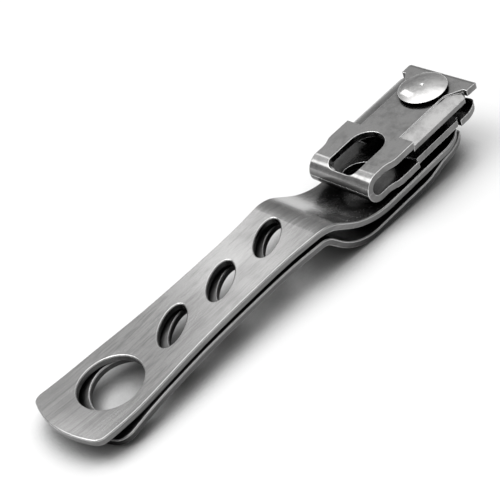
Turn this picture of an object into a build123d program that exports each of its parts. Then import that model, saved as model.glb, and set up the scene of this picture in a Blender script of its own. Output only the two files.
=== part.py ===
"""Nail clipper with a swivelling head, lying folded and closed as it is stored.

Everything is drawn in the handle's own frame: +X towards the cutting edges, +Y across, +Z up, with the
middle finger hole at X = 0 and the handle's flat top at Z = 0. At the end main() turns and lifts every
solid into the frame of the finished part, in which the clipper lies on a table at Z = 0.
Millimetres throughout.
"""
from build123d import *
import os
from math import cos, radians, sin

# ---- driving dimensions --------------------------------------------------------------------------
HANDLE_THICK = 1.1
LEVER_THICK = 1.1
JAW_THICK = 1.05
EDGE_BREAK = 0.15          # small bevel on the stamped edges that show

# outline shared by the handle and the lever
WAIST_HALF = 5.85          # half width between the finger holes
SHOULDER_HALF = 6.55       # half width from the step to the nose
TAIL_HALF = 7.15           # half width at the tail
NOSE_START = 39.8          # where the straight sides end and the nose begins
HANDLE_TAIL_TIP = -30.5
HANDLE_NOSE_TIP = 47.0
LEVER_TAIL_TIP = -27.6

# finger holes and lanyard hole
HOLE_PITCH = 9.5
OVAL_LONG = 8.0
OVAL_SHORT = 3.7
OVAL_TURN = 31.5           # degrees from the handle's length
LANYARD_X = -21.05
LANYARD_RADIUS = 4.72
LEVER_HOLES_AHEAD = 1.2    # the lever's holes sit further forward than the handle's

# the step that lowers the front of each plate under the head
HANDLE_STEP_X = 13.2
HANDLE_STEP_ANGLE = 36.0
HANDLE_STEP_RADII = (7.0, 14.0)
HANDLE_STEP_LINE = 2.45
LEVER_STEP_X = 13.3
LEVER_STEP_ANGLE = 50.0
LEVER_STEP_RADII = (3.0, 10.0)
LEVER_STEP_LINE = 1.5
LEVER_TOP = -1.66          # lever's top face just behind its step
TAIL_CURL_RADIUS = 62.0   # handle's tail curls up on this radius
LEVER_DROOP = 17.0         # degrees by which the lever's tail bends down
LEVER_DROOP_RADIUS = 36.0
LEVER_SLOPE = -0.9         # heading of the lever's flat, in degrees
LEVER_DROOP_END_X = -17.5
LEVER_NOSE_RUN = 10.2      # straight between the step and the swept-up nose
LEVER_NOSE_SWEEP = [(10, 17), 0.8, (10, -16), 12]
TAIL_CURL = 10             # degrees
TAIL_CURL_START = -20.3

# head: one strip bent into a U, cut across the bend into an upper and a lower half
HEAD_TOP = 0.25
HEAD_HEIGHT = 4.75
BEND_X = 26.55             # centre of the bend
LEG_HALF = 6.5
BEND_HALF = 5.9            # the strip narrows round the bend
SLOT_HALF = 2.92
SLOT_FRONT_X = 31.1        # centre of the slot's round front end
SLOT_CORNER = 1.6          # rounding of the slot's rear end, which wraps over the bend
SLOT_WRAP = 0.16           # how short of the 45 degree line the slot stops on the bend
LOWER_HOLE_X = 28.3

# jaws
WING_REAR_X = 34.4
WING_HALF = 6.3
DECK_HALF = 3.85           # half width of the flat between the two wings
WING_STEP = 0.15           # crease where a wing leaves the deck
UPPER_WING_DROP = 0.9
WING_CORNER = 0.6          # rounding of a wing's front corner
WING_NOTCH = 0.4           # length of the notch between wing and lip
WING_NOTCH_Y = 5.6         # the notch starts this far from the middle
LOWER_WING_DROP = 0.5      # the lower wings rise less, to leave room when the jaws close
LIP_HALF = 6.35
LIP_HOLLOW = 0.45          # depth of the concave cutting edge
LIP_CORNER = 0.9
LIP_FLARE = 2.4            # length over which the deck widens into the lip
LIP_EDGE_BACK = 1.0        # depth of the ground inner side of a lip
LIP_LAND = 0.35            # flat behind the cutting edge
LIP_GRIND_RISE = 0.45
# where a lip leaves the wings, starts to bend and has its edge, and the edge's height
UPPER_LIP = (47.2, 48.8, 50.0, -1.0)
LOWER_LIP = (44.6, 46.0, 48.65, -2.45)

# pivot post, washer and cross pin
POST_X = 44.7
POST_RADIUS = 1.5
RUNNING_GAP = 0.05         # radial clearance round the post
UPPER_JAW_HOLE_RADIUS = 1.9
DOME_RADIUS = 3.8
DOME_RIM_Z = 0.74
DOME_RISE = 0.62
DIMPLE_RADIUS = 0.4        # punch mark on top of the dome
DOME_GAP = 0.16            # slack between the dome's neck and the upper jaw
NECK_RADIUS = 2.3
WASHER_RADIUS = 3.1
STACK_GAP = 0.03           # end play of the washer on each side
PIN_Z = -8.6
PIN_RADIUS = 0.6
PIN_HALF_LENGTH = 2.75
POST_TAIL = 0.85           # post below the cross pin's axis
FORK_HALF = 1.65
FORK_REAR = 2.5            # fork slot behind the post's axis
EAR_THICK = 1.0
EAR_RADIUS = 1.15
CAM_RADIUS = 1.93          # the lever's nose round the cross pin

REST_TILT = 5.6           # degrees by which the clipper lies nose up off its handle's own frame
LEVER_SKEW = 0.45         # degrees by which the lever lies askew under the handle

TALL = 40.0                # cutters that pass right through

HALF_HEIGHT = HEAD_HEIGHT / 2
MID_Z = HEAD_TOP - HALF_HEIGHT


# ---- helpers -------------------------------------------------------------------------------------
def rotated(vector, degrees):
    """A 2-D direction turned counter-clockwise."""
    turn = radians(degrees)
    x, y = vector
    return (x * cos(turn) - y * sin(turn), x * sin(turn) + y * cos(turn))


def bent_sheet(start, heading, moves, thickness):
    """Side view of a bent sheet, as a face on the XZ plane.

    The top line starts at start (x, z) and follows moves: a number is a straight length, and a pair
    (radius, degrees) is an arc of the top line, positive degrees turning upwards. The bottom line is
    parallel to it, one thickness below.
    """
    top, bottom = [], []
    position = start
    for move in moves:
        ahead = rotated((1, 0), heading)
        up = rotated((0, 1), heading)
        if isinstance(move, tuple):
            radius, degrees = move
            side = 1 if degrees > 0 else -1
            centre = (position[0] + side * radius * up[0], position[1] + side * radius * up[1])
            middle = arc_point(centre, up, side, radius, degrees / 2)
            end = arc_point(centre, up, side, radius, degrees)
            low_radius = radius + side * thickness
            low_start = arc_point(centre, up, side, low_radius, 0)
            low_middle = arc_point(centre, up, side, low_radius, degrees / 2)
            low_end = arc_point(centre, up, side, low_radius, degrees)
            top.append(ThreePointArc(position, middle, end))
            bottom.append(ThreePointArc(low_start, low_middle, low_end))
            heading += degrees
        else:
            end = (position[0] + move * ahead[0], position[1] + move * ahead[1])
            low_start = (position[0] - thickness * up[0], position[1] - thickness * up[1])
            low_end = (end[0] - thickness * up[0], end[1] - thickness * up[1])
            top.append(Line(position, end))
            bottom.append(Line(low_start, low_end))
        position = end
    front = Line(top[-1] @ 1, bottom[-1] @ 1)
    back = Line(top[0] @ 0, bottom[0] @ 0)
    return Plane.XZ * make_face(top + bottom + [front, back])


def arc_point(centre, up, side, radius, degrees):
    """Point of an arc of a bent sheet after turning by degrees about its centre."""
    out = rotated((-side * up[0], -side * up[1]), degrees)
    return (centre[0] + radius * out[0], centre[1] + radius * out[1])


def across(face, half_width):
    """Extrude a side view to both sides of the middle plane."""
    return extrude(face, amount=half_width, both=True)


def through(face):
    """Extrude a plan view up and down far enough to cut anything."""
    return extrude(face, amount=TALL, both=True)


def post_cylinder(radius, low, high):
    """Cylinder on the post's axis between two heights."""
    return Pos(POST_X, 0, (low + high) / 2) * Cylinder(radius, high - low)


def plate_outline(tail_tip, tail_corner_radius, nose_tip):
    """Plan of the handle or the lever: waisted sides, bowed tail and elliptical nose."""
    tail_corner_x = tail_tip + 1.75
    side_points = [(tail_corner_x, TAIL_HALF), (-21, 7.0), (-12.5, 6.3), (0.5, WAIST_HALF),
                   (9.5, 6.0), (18, SHOULDER_HALF)]
    upper_side = Spline(side_points, tangents=[(1, 0), (1, 0)])
    lower_side = Spline([(x, -y) for x, y in side_points], tangents=[(1, 0), (1, 0)])
    upper_line = Line((18, SHOULDER_HALF), (NOSE_START, SHOULDER_HALF))
    lower_line = Line((18, -SHOULDER_HALF), (NOSE_START, -SHOULDER_HALF))
    tail = ThreePointArc((tail_corner_x, TAIL_HALF), (tail_tip, 0), (tail_corner_x, -TAIL_HALF))
    nose = EllipticalCenterArc((NOSE_START, 0), nose_tip - NOSE_START, SHOULDER_HALF,
                               start_angle=-90, arc_size=180)
    outline = make_face([upper_side, upper_line, nose, lower_line, lower_side, tail])
    corners = outline.vertices().group_by(Axis.X)[0]
    return fillet(corners, tail_corner_radius)


def finger_holes():
    """Three slanted ovals and the round lanyard hole, as cutters."""
    oval = through(Rot(0, 0, OVAL_TURN) * Ellipse(OVAL_LONG / 2, OVAL_SHORT / 2))
    cutters = [Pos(number * HOLE_PITCH, 0, 0) * oval for number in (-1, 0, 1)]
    cutters.append(Pos(LANYARD_X, 0, 0) * Cylinder(LANYARD_RADIUS, TALL))
    return cutters


def with_broken_rims(plate):
    """The plate with a small bevel where its upper and lower faces meet its outline and its holes."""
    flats = [face for face in plate.faces() if abs(face.normal_at().Z) > 0.3]
    walls = [face for face in plate.faces() if abs(face.normal_at().Z) <= 0.3]
    wall_edges = [edge for face in walls for edge in face.edges()]
    flat_edges = [edge for face in flats for edge in face.edges()]
    rims = ShapeList(edge for edge in flat_edges if edge in wall_edges)
    return chamfer(rims, EDGE_BREAK)


# ---- handle and lever ----------------------------------------------------------------------------
def handle():
    """Upper plate: flat and pierced behind, stepped down under the head, curled up a little at the tail."""
    rear, front = HANDLE_STEP_RADII
    curl_rise = TAIL_CURL_RADIUS * (1 - cos(radians(TAIL_CURL)))
    curl_run = TAIL_CURL_RADIUS * sin(radians(TAIL_CURL))
    side = bent_sheet((TAIL_CURL_START - curl_run, curl_rise), -TAIL_CURL,
                      [(TAIL_CURL_RADIUS, TAIL_CURL), HANDLE_STEP_X - TAIL_CURL_START,
                       (rear, -HANDLE_STEP_ANGLE), HANDLE_STEP_LINE, (front, HANDLE_STEP_ANGLE), 22],
                      HANDLE_THICK)
    plate = across(side, 10) & through(plate_outline(HANDLE_TAIL_TIP, 1.6, HANDLE_NOSE_TIP))
    for cutter in finger_holes():
        plate -= cutter
    plate = with_broken_rims(plate)
    return plate - post_cylinder(POST_RADIUS + RUNNING_GAP, -TALL, TALL)


def lever():
    """Lower plate: follows the handle, and hooks the cross pin with two ears beside an open fork."""
    rear, front = LEVER_STEP_RADII
    tail_heading = LEVER_DROOP + LEVER_SLOPE
    rise = LEVER_DROOP_RADIUS * (cos(radians(LEVER_SLOPE)) - cos(radians(tail_heading)))
    run = LEVER_DROOP_RADIUS * (sin(radians(tail_heading)) - sin(radians(LEVER_SLOPE)))
    flat_length = LEVER_STEP_X - LEVER_DROOP_END_X
    droop_end_z = LEVER_TOP - flat_length * sin(radians(LEVER_SLOPE))
    side = bent_sheet((LEVER_DROOP_END_X - run, droop_end_z - rise), tail_heading,
                      [(LEVER_DROOP_RADIUS, -LEVER_DROOP), flat_length,
                       (rear, -LEVER_STEP_ANGLE - LEVER_SLOPE), LEVER_STEP_LINE,
                       (front, LEVER_STEP_ANGLE - 1), LEVER_NOSE_RUN] + LEVER_NOSE_SWEEP, LEVER_THICK)
    plate = across(side, 10) & through(plate_outline(LEVER_TAIL_TIP, 2.6, POST_X + 3))
    for cutter in finger_holes():
        plate -= Pos(LEVER_HOLES_AHEAD, 0, 0) * cutter
    plate = with_broken_rims(plate)
    nose_zone = Pos(POST_X + 5, 0, PIN_Z) * Box(10, 20, 8)
    plate -= nose_zone - pin_cylinder(CAM_RADIUS, TALL)
    plate -= Pos(POST_X - FORK_REAR + 10, 0, PIN_Z) * Box(20, 2 * FORK_HALF, 10)
    for way in (1, -1):
        plate += ear(way)
    return plate - pin_cylinder(PIN_RADIUS + RUNNING_GAP, 2 * PIN_HALF_LENGTH)


def ear(way):
    """Ear bent down from the lever on one side of its fork, round the cross pin."""
    middle_y = way * (FORK_HALF + EAR_THICK / 2)
    root_z = PIN_Z + 1.4
    stem = Pos(POST_X, middle_y, (root_z + PIN_Z) / 2) * Box(2 * EAR_RADIUS, EAR_THICK, root_z - PIN_Z)
    eye = Pos(0, middle_y, 0) * pin_cylinder(EAR_RADIUS, EAR_THICK)
    return stem + eye


# ---- head ----------------------------------------------------------------------------------------
def half_head_side(lip):
    """Side view of half the head above the middle plane: quarter bend, leg and a lip with a ground edge."""
    bend_end, tip_x, tip_height = lip[1:]
    inner_radius = HALF_HEIGHT - JAW_THICK
    tip = (tip_x, tip_height)
    land_end = (tip_x - LIP_LAND, tip_height)
    grind_end = (tip_x - LIP_EDGE_BACK, min(inner_radius, tip_height + LIP_GRIND_RISE))
    outer = [CenterArc((BEND_X, 0), HALF_HEIGHT, 90, 90), Line((BEND_X, HALF_HEIGHT), (bend_end, HALF_HEIGHT)),
             TangentArc((bend_end, HALF_HEIGHT), tip, tangent=(1, 0))]
    ground = [Line(tip, land_end), Line(land_end, grind_end)]
    leg_end = grind_end
    if grind_end[1] < inner_radius:
        leg_end = (bend_end, inner_radius)
        ground.append(TangentArc(leg_end, grind_end, tangent=(1, 0)))
    inner = [Line(leg_end, (BEND_X, inner_radius)), CenterArc((BEND_X, 0), inner_radius, 90, 90)]
    cut = Line((BEND_X - HALF_HEIGHT, 0), (BEND_X - inner_radius, 0))
    return Plane.XZ * make_face(outer + ground + inner + [cut])


def head_outline(lip_rear, tip_x):
    """Plan of half the head: narrowed at the bend, straight, and flared to a hollow cutting edge."""
    rear_x = BEND_X - HALF_HEIGHT - 1
    sides = []
    for way in (1, -1):
        neck = [(28.0, way * BEND_HALF), (30.6, way * LEG_HALF)]
        sides.append(Line((rear_x, way * BEND_HALF), neck[0]))
        sides.append(Spline(neck, tangents=[(1, 0), (1, 0)]))
        sides.append(Line(neck[1], (WING_REAR_X + 1, way * LEG_HALF)))
        sides.append(Line((WING_REAR_X + 1, way * LEG_HALF), (lip_rear, way * WING_HALF)))
        sides.append(Line((lip_rear, way * WING_HALF), (tip_x - 1.2, way * LIP_HALF)))
        sides.append(Line((tip_x - 1.2, way * LIP_HALF), (tip_x, way * LIP_HALF)))
    rear = Line((rear_x, BEND_HALF), (rear_x, -BEND_HALF))
    edge = ThreePointArc((tip_x, LIP_HALF), (tip_x - LIP_HOLLOW, 0), (tip_x, -LIP_HALF))
    outline = make_face(sides + [rear, edge])
    corners = outline.vertices().group_by(Axis.X)[-1]
    return fillet(corners, LIP_CORNER)


def wing(drop, lip_rear):
    """One wing beside the deck, sloping towards the other jaw by drop, on the +Y side."""
    top_in = (DECK_HALF, HALF_HEIGHT - WING_STEP)
    top_out = (WING_HALF, HALF_HEIGHT - drop)
    crown = ThreePointArc(top_in, ((top_in[0] + top_out[0]) / 2, (top_in[1] + top_out[1]) / 2 + 0.12), top_out)
    low_out = (WING_HALF - 0.12, HALF_HEIGHT - drop - JAW_THICK + 0.08)
    low_in = (DECK_HALF - 0.3, HALF_HEIGHT - JAW_THICK)
    rest = Polyline([top_out, low_out, low_in, (DECK_HALF - 0.3, HALF_HEIGHT - WING_STEP), top_in])
    section = Plane((WING_REAR_X, 0, 0), x_dir=(0, 1, 0), z_dir=(1, 0, 0)) * make_face([crown, rest])
    bar = extrude(section, amount=lip_rear + 0.1 - WING_REAR_X)
    return bar & through(wing_outline(lip_rear))


def wing_outline(lip_rear):
    """Plan of a wing, with a rounded front corner and a notch beside the lip."""
    front = lip_rear - WING_NOTCH
    corner = (front, WING_HALF)
    face = make_face(Polyline([(WING_REAR_X, 0), (WING_REAR_X, WING_HALF), corner, (front, WING_NOTCH_Y),
                               (lip_rear + 1, WING_NOTCH_Y), (lip_rear + 1, 0)], close=True))
    return fillet(face.vertices().sort_by_distance(Vertex(*corner))[0], WING_CORNER)


def half_head(lip, wing_drop):
    """Half of the head above the middle plane, without its slot or holes."""
    lip_rear = lip[0]
    solid = across(half_head_side(lip), 10) & through(head_outline(lip_rear, lip[2]))
    flare = make_face(Polyline([(WING_REAR_X, DECK_HALF), (lip_rear - LIP_FLARE, DECK_HALF),
                                (lip_rear, WING_NOTCH_Y), (lip_rear, 15), (WING_REAR_X, 15)], close=True))
    inner_corner = flare.vertices().sort_by_distance(Vertex(lip_rear - LIP_FLARE, DECK_HALF))[0]
    beside = through(fillet(inner_corner, 2.0))
    solid = solid - beside - mirror(beside, Plane.XZ)
    right = wing(wing_drop, lip_rear)
    return solid + right + mirror(right, Plane.XZ)


def upper_slot():
    """Cutter for the long slot in the upper leg, which runs back over the bend."""
    straight = Pos((BEND_X + SLOT_FRONT_X) / 2, 0, 0) * Box(SLOT_FRONT_X - BEND_X, 2 * SLOT_HALF, TALL)
    round_end = Pos(SLOT_FRONT_X, 0, 0) * Cylinder(SLOT_HALF, TALL)
    slanted = Plane((BEND_X, 0, 0), x_dir=(1, 0, 1), z_dir=(-1, 0, 1))
    wrap = RectangleRounded(2 * 2.4 - 2 * SLOT_WRAP, 2 * SLOT_HALF, SLOT_CORNER)
    over_bend = extrude(slanted.offset(0.3) * Pos(2.4, 0, 0) * wrap, amount=4)
    above = Pos(0, 0, TALL / 2) * Box(200, 50, TALL)
    return (straight + round_end + over_bend) & above


def upper_jaw():
    """Upper half of the head, with the slot and a loose hole for the post."""
    solid = half_head(UPPER_LIP[:3] + (UPPER_LIP[3] - MID_Z,), UPPER_WING_DROP) - upper_slot()
    solid = Pos(0, 0, MID_Z) * solid
    return solid - post_cylinder(UPPER_JAW_HOLE_RADIUS, -TALL, TALL)


def lower_jaw():
    """Lower half of the head, with a round window and a running hole for the post."""
    solid = half_head(LOWER_LIP[:3] + (MID_Z - LOWER_LIP[3],), LOWER_WING_DROP)
    solid -= Pos(LOWER_HOLE_X, 0, 0) * Cylinder(SLOT_HALF, TALL)
    solid = Pos(0, 0, MID_Z) * mirror(solid, Plane.XY)
    return solid - post_cylinder(POST_RADIUS + RUNNING_GAP, -TALL, TALL)


# ---- post, washer and pin ------------------------------------------------------------------------
def front_face_height():
    """Height of the handle's front section, on which the washer lies."""
    rear, front = HANDLE_STEP_RADII
    bends = (rear + front) * (1 - cos(radians(HANDLE_STEP_ANGLE)))
    return -bends - HANDLE_STEP_LINE * sin(radians(HANDLE_STEP_ANGLE))


def pivot_post():
    """Domed head, neck and shaft in one turned piece, with a cross hole near the bottom."""
    neck_z = HEAD_TOP + DOME_GAP
    low_z = PIN_Z - POST_TAIL
    rim_z = DOME_RIM_Z
    crown = ThreePointArc((0, rim_z + DOME_RISE), (DOME_RADIUS * 0.62, rim_z + DOME_RISE * 0.72),
                          (DOME_RADIUS, rim_z + 0.1))
    lines = Polyline([(DOME_RADIUS, rim_z + 0.1), (DOME_RADIUS - 0.12, rim_z - 0.08), (NECK_RADIUS, neck_z + 0.12),
                      (NECK_RADIUS, neck_z), (POST_RADIUS, neck_z), (POST_RADIUS, low_z + 0.2),
                      (POST_RADIUS - 0.2, low_z), (0, low_z), (0, rim_z + DOME_RISE)])
    solid = revolve(Plane.XZ * make_face([crown, lines]), Axis.Z)
    dimple = Pos(0, 0, rim_z + DOME_RISE + DIMPLE_RADIUS * 0.6) * Sphere(DIMPLE_RADIUS)
    solid = Pos(POST_X, 0, 0) * (solid - dimple)
    return solid - pin_cylinder(PIN_RADIUS, TALL)


def pin_cylinder(radius, length):
    """Cylinder on the cross pin's axis."""
    return Pos(POST_X, 0, PIN_Z) * Rot(90, 0, 0) * Cylinder(radius, length)


def cross_pin():
    """Pin through the post on which the lever flips over."""
    pin = pin_cylinder(PIN_RADIUS, 2 * PIN_HALF_LENGTH)
    ends = pin.edges().filter_by(GeomType.CIRCLE)
    return chamfer(ends, 0.12)


def swivel_washer():
    """Thin ring between the handle and the head."""
    low = front_face_height() + STACK_GAP
    high = HEAD_TOP - HEAD_HEIGHT - STACK_GAP
    ring = post_cylinder(WASHER_RADIUS, low, high) - post_cylinder(POST_RADIUS + RUNNING_GAP, -TALL, TALL)
    return ring


# ---- seating and export --------------------------------------------------------------------------
def swung_out(solid):
    """The solid turned a little about the post's axis, as the lever does not lie quite straight."""
    return Pos(POST_X, 0, 0) * Rot(0, 0, LEVER_SKEW) * Pos(-POST_X, 0, 0) * solid


def main():
    """Make every solid, seat it on the table and write its file."""
    os.makedirs("parts", exist_ok=True)
    makers = {"handle": handle, "lever": lever, "upper_jaw": upper_jaw, "lower_jaw": lower_jaw,
              "pivot_post": pivot_post, "cross_pin": cross_pin, "swivel_washer": swivel_washer}
    solids = {name: maker() for name, maker in makers.items()}
    for name in ("lever", "pivot_post", "cross_pin"):
        solids[name] = swung_out(solids[name])
    solids = {name: Rot(0, -REST_TILT, 0) * solid for name, solid in solids.items()}
    boxes = [solid.bounding_box() for solid in solids.values()]
    low = [min(getattr(box.min, axis) for box in boxes) for axis in "XYZ"]
    high = [max(getattr(box.max, axis) for box in boxes) for axis in "XYZ"]
    shift = (-(low[0] + high[0]) / 2, -(low[1] + high[1]) / 2, -low[2])
    print("lift", [round(value, 3) for value in shift])
    for name, solid in solids.items():
        placed = Pos(*shift) * solid
        print(name, placed.is_valid, round(placed.volume, 2), placed.bounding_box())
        export_step(placed, f"parts/{name}.step")


if __name__ == "__main__":
    main()
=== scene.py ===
"""Looks for the folding nail clipper: steel finishes, a white table, studio lights and the camera.

The CAD nodes keep their own shapes. Lengths are metres, in the row's frame: +X towards the cutting
edges, +Z up from the table.
"""
import bpy
from math import cos, radians, sin
from mathutils import Matrix, Vector

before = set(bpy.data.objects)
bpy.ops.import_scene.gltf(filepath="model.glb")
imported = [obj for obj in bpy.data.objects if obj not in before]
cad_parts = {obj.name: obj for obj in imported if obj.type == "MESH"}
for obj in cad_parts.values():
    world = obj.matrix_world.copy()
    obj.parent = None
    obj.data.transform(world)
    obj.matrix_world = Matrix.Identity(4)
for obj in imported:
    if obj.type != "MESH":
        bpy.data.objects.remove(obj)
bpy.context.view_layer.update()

MM = 0.001
REST_TILT = radians(5.6)       # the clipper lies nose up by this much off its handle's own plane
PLATE_UP = (-sin(REST_TILT), 0, cos(REST_TILT))
EDGE_ROUND = 0.16 * MM          # width of the rounded edges, which are worn and carry a painted highlight
CREVICE_SHADE_REACH = 6 * MM               # reach of the painted shade in crevices and between the plates
TABLE_SHADOW_REACH = 7 * MM               # reach of the painted shadow on the table

# noise cycles per metre along X, Y and Z, smallest along the brushing
BRUSHED = (45, 4200, 4200)
SATIN = (700, 700, 700)
TURNED = (900, 900, 900)
DRAWN = (2600, 80, 2600)
COARSE_SHARE = 0.28            # coarse scratches against the fine ones, in cycles
CLOUDS = (140, 140, 140)
SPECKS = (5200, 5200, 5200)
RELIEF = 0.02 * MM             # height of the scratches

TABLE_HALF = 6.0
TABLE_DROP = 0.02 * MM         # keeps the table clear of the faces that stand on it

# where the camera stands, and its right and down directions
CAMERA_PLACE = Vector((-87.60, -122.50, 114.84)) * MM
CAMERA_RIGHT = Vector((0.6986, -0.678, -0.2279))
CAMERA_DOWN = Vector((-0.5498, -0.305, -0.7774))
CAMERA_LENS = 95.6

# brightness of the room at heights from the horizon (0) to overhead (1)
ROOM_LEVELS = [(0.02, 0.6), (0.25, 0.3), (0.5, 0.42), (0.72, 0.75), (0.86, 1.5), (0.98, 1.7)]


# ---- node helpers --------------------------------------------------------------------------------
class Nodes:
    """Builds one material's node tree with short calls."""

    def __init__(self, name):
        self.material = bpy.data.materials.new(name)
        self.material.use_nodes = True
        self.tree = self.material.node_tree
        self.shader = self.tree.nodes["Principled BSDF"]

    def add(self, kind, inputs=None, **settings):
        """A node of that kind, with its inputs given by name as values or as sockets to link."""
        node = self.tree.nodes.new(kind)
        for key, value in settings.items():
            setattr(node, key, value)
        for key, value in (inputs or {}).items():
            self.put(node.inputs[key], value)
        return node

    def put(self, socket, value):
        """Link a socket, or set its value."""
        if isinstance(value, bpy.types.NodeSocket):
            self.tree.links.new(value, socket)
        else:
            socket.default_value = value

    def math(self, operation, a, b=0.0):
        """One step of arithmetic."""
        return self.add("ShaderNodeMath", {0: a, 1: b}, operation=operation).outputs[0]

    def mix(self, factor, a, b):
        """Blend two colours."""
        node = self.add("ShaderNodeMix", data_type="RGBA")
        for socket, value in zip((node.inputs[0], node.inputs[6], node.inputs[7]), (factor, a, b)):
            self.put(socket, value)
        return node.outputs[2]

    def ramp(self, factor, low, high, a, b):
        """Map factor from low..high to a..b, held at the ends."""
        inputs = {"Value": factor, "From Min": low, "From Max": high, "To Min": a, "To Max": b}
        return self.add("ShaderNodeMapRange", inputs).outputs["Result"]

    def place(self, stretch, turn=(0, 0, 0)):
        """Object coordinates, stretched so that noise draws out into grain."""
        spot = self.add("ShaderNodeTexCoord").outputs["Object"]
        inputs = {"Vector": spot, "Scale": stretch, "Rotation": turn}
        return self.add("ShaderNodeMapping", inputs).outputs["Vector"]

    def noise(self, vector, detail=4.0, roughness=0.6):
        """Noise between 0 and 1 at a mapped place."""
        inputs = {"Vector": vector, "Scale": 1.0, "Detail": detail, "Roughness": roughness}
        return self.add("ShaderNodeTexNoise", inputs).outputs[0]


def grey(value, warm=0.0):
    """A nearly neutral colour."""
    return (value * (1 + warm), value, value * (1 - warm), 1.0)


def steel(name, colour, rough, grain=BRUSHED, grain_depth=0.25, side=0.45, smudge=0.12):
    """Brushed steel: fine scratches one way, cloudy handling marks, worn edges with a painted highlight,
    painted shade in crevices.

    grain gives the scratches' cycles per metre, side is the painted shade that darkens the sheared side
    faces against the flats, and smudge is the strength of the handling marks.
    """
    n = Nodes(name)
    tilt = (0, REST_TILT, 0)
    fine = n.noise(n.place(grain, tilt), 6.0, 0.7)
    coarse = n.noise(n.place(tuple(cycles * COARSE_SHARE for cycles in grain), tilt), 3.0, 0.5)
    cloud = n.noise(n.place(CLOUDS), 3.0, 0.55)
    speck = n.noise(n.place(SPECKS), 1.0, 0.5)
    scratch = n.math("ADD", n.math("MULTIPLY", fine, 0.6), n.math("MULTIPLY", coarse, 0.4))

    soft_edge = n.add("ShaderNodeBevel", {"Radius": EDGE_ROUND}, samples=6).outputs["Normal"]
    true_normal = n.add("ShaderNodeNewGeometry").outputs["Normal"]
    turned = n.add("ShaderNodeVectorMath", {0: soft_edge, 1: true_normal}, operation="DOT_PRODUCT")
    # edges: worn and smoother, and given a painted highlight that whitens their base colour
    edge_wear_and_highlight = n.ramp(turned.outputs["Value"], 0.995, 0.9, 0.0, 1.0)
    # painted shade: the base colour darkens in crevices and between the plates, where shade falls
    crevice_shade = n.add("ShaderNodeAmbientOcclusion", {"Distance": CREVICE_SHADE_REACH}, samples=8).outputs["AO"]
    # painted shade: faces turned away from the plate's up, the sheared sides, get a darker base colour
    own_normal = n.add("ShaderNodeTexCoord").outputs["Normal"]
    upward = n.add("ShaderNodeVectorMath", {0: own_normal, 1: PLATE_UP}, operation="DOT_PRODUCT")
    painted_side_shade = n.ramp(n.math("ABSOLUTE", upward.outputs["Value"]), 0.2, 0.6, side, 1.0)

    marks = n.ramp(cloud, 0.35, 0.7, 1.0, 1.0 - smudge)
    tone = n.math("MULTIPLY", n.ramp(scratch, 0.35, 0.65, 0.72, 1.25), marks)
    # painted shade in crevices darkens the base colour
    tone = n.math("MULTIPLY", tone, n.ramp(crevice_shade, 0.35, 0.9, 0.06, 1.0))
    metal = n.mix(n.math("MULTIPLY", tone, painted_side_shade), grey(0.0), grey(colour, 0.006))
    # painted highlight: the edges' base colour turns white, except deep in the painted shade of crevices
    worn_edge_and_highlight = n.math("MULTIPLY", edge_wear_and_highlight, n.ramp(crevice_shade, 0.3, 0.6, 0.0, 0.9))
    n.put(n.shader.inputs["Base Color"], n.mix(worn_edge_and_highlight, metal, grey(1.0)))

    polish = n.ramp(scratch, 0.3, 0.7, rough * 0.8, rough * 1.25)
    grind = n.math("ADD", polish, n.ramp(cloud, 0.45, 0.75, 0.0, smudge * 0.6))
    grind = n.math("ADD", grind, n.ramp(speck, 0.6, 0.8, 0.0, 0.05))
    n.put(n.shader.inputs["Roughness"], n.math("SUBTRACT", grind, n.math("MULTIPLY", edge_wear_and_highlight, rough * 0.45)))
    relief = {"Strength": grain_depth, "Distance": RELIEF, "Height": scratch, "Normal": soft_edge}
    n.put(n.shader.inputs["Normal"], n.add("ShaderNodeBump", relief).outputs["Normal"])
    n.shader.inputs["Metallic"].default_value = 1.0
    return n


def paint(node, material):
    """Give every slot of a CAD node that material."""
    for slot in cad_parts[node].material_slots:
        slot.material = material


# ---- finishes ------------------------------------------------------------------------------------
def finish_plates():
    """Handle and lever: brushed along their length."""
    handle = steel("handle_brushed", 0.42, 0.2)
    handle.shader.inputs["Anisotropic"].default_value = 0.6
    paint("handle", handle.material)
    lever = steel("lever_brushed", 0.3, 0.32)
    paint("lever", lever.material)


def finish_head():
    """Satin jaws, polished post, and a plain pin and washer."""
    jaw = steel("jaw_satin", 0.4, 0.16, grain=SATIN, grain_depth=0.12, smudge=0.05)
    for node in ("upper_jaw", "lower_jaw"):
        paint(node, jaw.material)
    paint("pivot_post", steel("post_polished", 0.78, 0.08, grain=TURNED, grain_depth=0.1).material)
    paint("cross_pin", steel("pin_drawn", 0.6, 0.25, grain=DRAWN).material)
    paint("swivel_washer", steel("washer_stamped", 0.5, 0.3, grain=TURNED).material)


def smooth_shading():
    """Shade every face with the normals that came with its mesh, which keep the hard edges hard."""
    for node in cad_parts.values():
        node.data.polygons.foreach_set("use_smooth", [True] * len(node.data.polygons))


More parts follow.
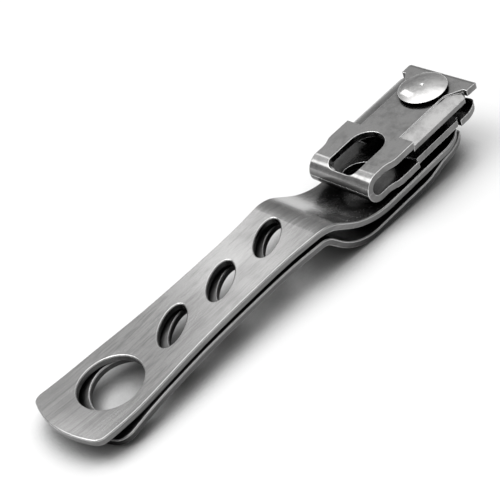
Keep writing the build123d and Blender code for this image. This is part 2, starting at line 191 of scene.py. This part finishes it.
# ---- table, lights and camera --------------------------------------------------------------------
def make_table():
    """A matt white table under the clipper, with a painted shadow near and under it."""
    mesh = bpy.data.meshes.new("table")
    corners = [(x * TABLE_HALF, y * TABLE_HALF, 0) for x, y in ((-1, -1), (1, -1), (1, 1), (-1, 1))]
    mesh.from_pydata(corners, [], [(0, 1, 2, 3)])
    table = bpy.data.objects.new("table", mesh)
    bpy.context.scene.collection.objects.link(table)
    n = Nodes("table_white")
    # painted shadow: the table's colour darkens near and under the clipper
    contact_shadow = n.add("ShaderNodeAmbientOcclusion", {"Distance": TABLE_SHADOW_REACH}, samples=8).outputs["AO"]
    tone = n.ramp(n.noise(n.place((9, 9, 9)), 2.0), 0.3, 0.7, 0.86, 0.9)
    tone = n.math("MULTIPLY", tone, n.ramp(contact_shadow, 0.5, 0.8, 0.3, 1.0))
    white = n.add("ShaderNodeCombineColor", {"Red": tone, "Green": tone, "Blue": tone})
    n.put(n.shader.inputs["Base Color"], white.outputs[0])
    n.shader.inputs["Roughness"].default_value = 0.75
    n.shader.inputs["Specular IOR Level"].default_value = 0.2
    mesh.materials.append(n.material)
    table.location.z = -TABLE_DROP


def area_light(name, place, aim, width, height, power):
    """A soft rectangular light aimed at a point."""
    data = bpy.data.lights.new(name, "AREA")
    data.shape = "RECTANGLE"
    data.size = width
    data.size_y = height
    data.energy = power
    light = bpy.data.objects.new(name, data)
    bpy.context.scene.collection.objects.link(light)
    light.location = place
    light.rotation_mode = "QUATERNION"
    light.rotation_quaternion = (Vector(aim) - Vector(place)).to_track_quat("-Z", "Y")


def make_room():
    """A grey room that brightens overhead."""
    world = bpy.data.worlds.new("room")
    bpy.context.scene.world = world
    world.use_nodes = True
    tree = world.node_tree
    spot = tree.nodes.new("ShaderNodeTexCoord").outputs["Generated"]
    height = tree.nodes.new("ShaderNodeSeparateXYZ")
    tree.links.new(spot, height.inputs[0])
    ramp = tree.nodes.new("ShaderNodeValToRGB")
    tree.links.new(height.outputs["Z"], ramp.inputs[0])
    stops = ramp.color_ramp.elements
    for place, level in ROOM_LEVELS:
        stops.new(place).color = (level, level, level, 1)
    # a new ramp has a stop at each end, which the room's own levels take over
    stops.remove(stops[0])
    stops.remove(stops[-1])
    tree.links.new(ramp.outputs["Color"], tree.nodes["Background"].inputs["Color"])


def make_lights():
    """A large soft box high on the far side, and a narrow strip low on it that streaks the handle."""
    area_light("key", (-0.35, 0.25, 0.65), (0, 0, 0), 0.6, 0.6, 2.6)
    area_light("streak", (0.17, 0.36, 0.33), (-0.02, 0, 0.005), 0.05, 0.16, 0.04)


def make_camera():
    """The camera looks down along the clipper from beside its tail."""
    data = bpy.data.cameras.new("camera")
    data.sensor_width = 36.0
    data.lens = CAMERA_LENS
    data.clip_start = 0.005
    camera = bpy.data.objects.new("camera", data)
    bpy.context.scene.collection.objects.link(camera)
    right = CAMERA_RIGHT.normalized()
    up = -CAMERA_DOWN
    up = (up - right * up.dot(right)).normalized()
    back = right.cross(up)
    facing = Matrix((right, up, back)).transposed().to_4x4()
    camera.matrix_world = Matrix.Translation(CAMERA_PLACE) @ facing
    bpy.context.scene.camera = camera


bpy.context.scene.view_settings.view_transform = "Standard"
finish_plates()
finish_head()
smooth_shading()
make_table()
make_room()
make_lights()
make_camera()
